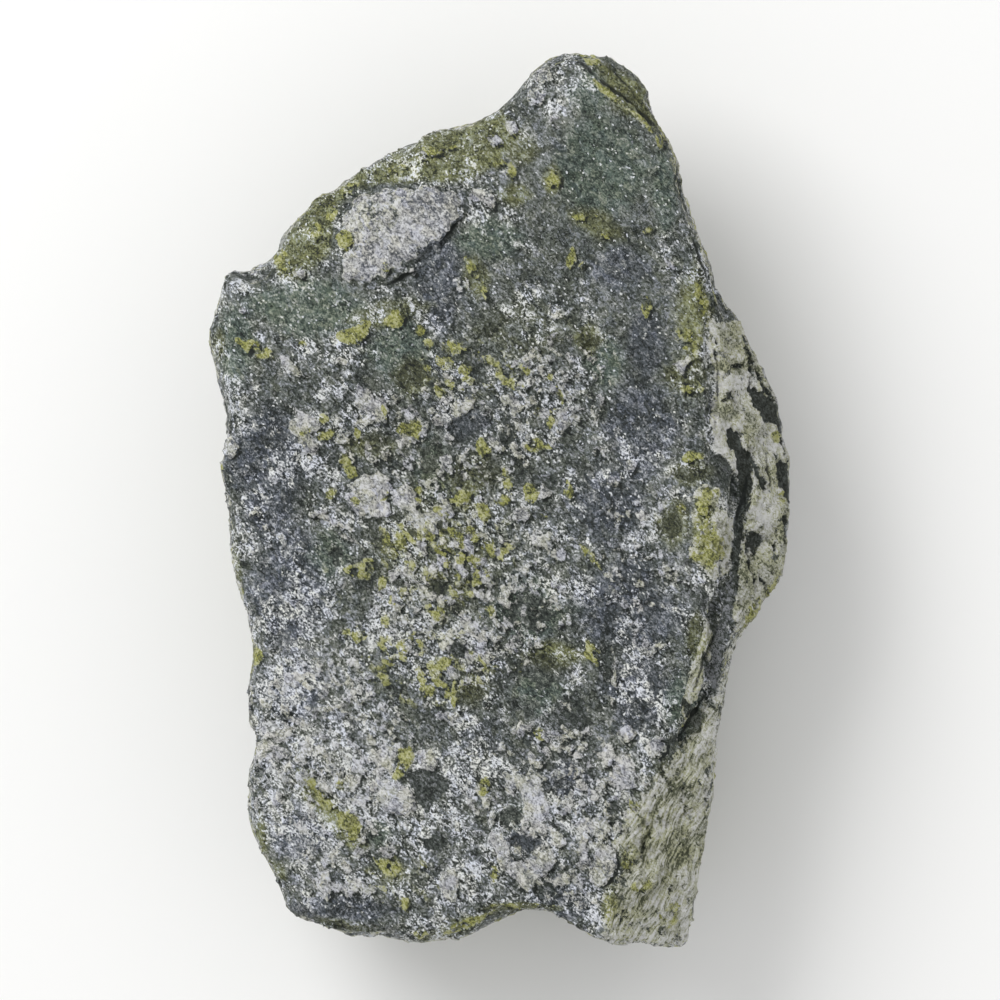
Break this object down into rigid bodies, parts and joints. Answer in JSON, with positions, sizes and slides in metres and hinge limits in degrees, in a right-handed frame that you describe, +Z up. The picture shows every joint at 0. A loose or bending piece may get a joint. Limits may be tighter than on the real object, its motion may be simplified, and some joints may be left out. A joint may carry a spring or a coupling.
{
  "type": "raw serpentine stone",
  "caption": "Hand-sized slab of rough natural serpentine with a broad weathered face, a narrow tip and a broken, bulging flank.",
  "frame": {"origin": "middle of the stone's box, on the surface that it lies on", "axes": "+Y along the stone's length, towards its narrow tip; +Z up through its thickness, out of the broad weathered face; +X towards the bulging flank"},
  "size_m": [0.0974, 0.15, 0.046],
  "materials": {
    "serpentine_stone": "matt weathered rock, dark green-grey with pale crust, yellow-green flecks and a cream fibrous flank"
  },
  "bodies": {
    "root": {"serpentine": "serpentine_stone"}
  },
  "joints": []
}
